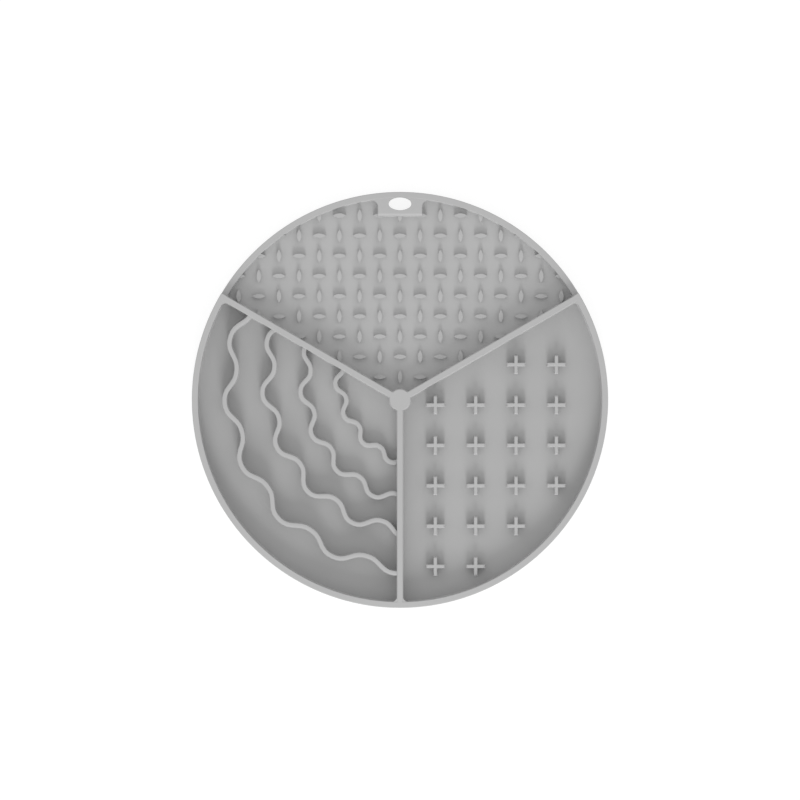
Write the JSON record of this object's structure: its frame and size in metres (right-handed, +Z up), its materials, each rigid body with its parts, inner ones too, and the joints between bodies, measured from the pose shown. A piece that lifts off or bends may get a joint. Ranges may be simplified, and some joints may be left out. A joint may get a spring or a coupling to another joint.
{
  "type": "slow feeder mat",
  "caption": "Round grey silicone lick mat in three compartments of lens studs, wavy ribs and small crosses, with a low rim, a hanging tab and suction cups underneath.",
  "frame": {"origin": "under the mat's centre, on the plane that the suction cups rest on", "axes": "+Z up, +Y towards the hanging tab, +X to the compartment of crosses"},
  "size_m": [0.206, 0.206, 0.015],
  "materials": {
    "silicone": "matte moulded silicone"
  },
  "bodies": {
    "root": {"base_disc": "silicone", "left_rim": "silicone", "right_rim": "silicone", "top_rim_left": "silicone", "top_rim_right": "silicone", "divider_left": "silicone", "divider_right": "silicone", "divider_bottom": "silicone", "hub_post": "silicone", "hanging_tab": "silicone", "wave_rib_1": "silicone", "wave_rib_2": "silicone", "wave_rib_3": "silicone", "wave_rib_4": "silicone", "cross_1": "silicone", "cross_2": "silicone", "cross_3": "silicone", "cross_4": "silicone", "cross_5": "silicone", "cross_6": "silicone", "cross_7": "silicone", "cross_8": "silicone", "cross_9": "silicone", "cross_10": "silicone", "cross_11": "silicone", "cross_12": "silicone", "cross_13": "silicone", "cross_14": "silicone", "cross_15": "silicone", "cross_16": "silicone", "cross_17": "silicone", "cross_18": "silicone", "cross_19": "silicone", "stud_row_1": "silicone", "stud_row_2": "silicone", "stud_row_3": "silicone", "stud_row_4": "silicone", "stud_row_5": "silicone", "stud_row_6": "silicone", "stud_row_7": "silicone", "stud_row_8": "silicone", "stud_row_9": "silicone", "suction_cup_centre": "silicone", "suction_cups_inner": "silicone", "suction_cups_outer": "silicone"}
  },
  "joints": []
}
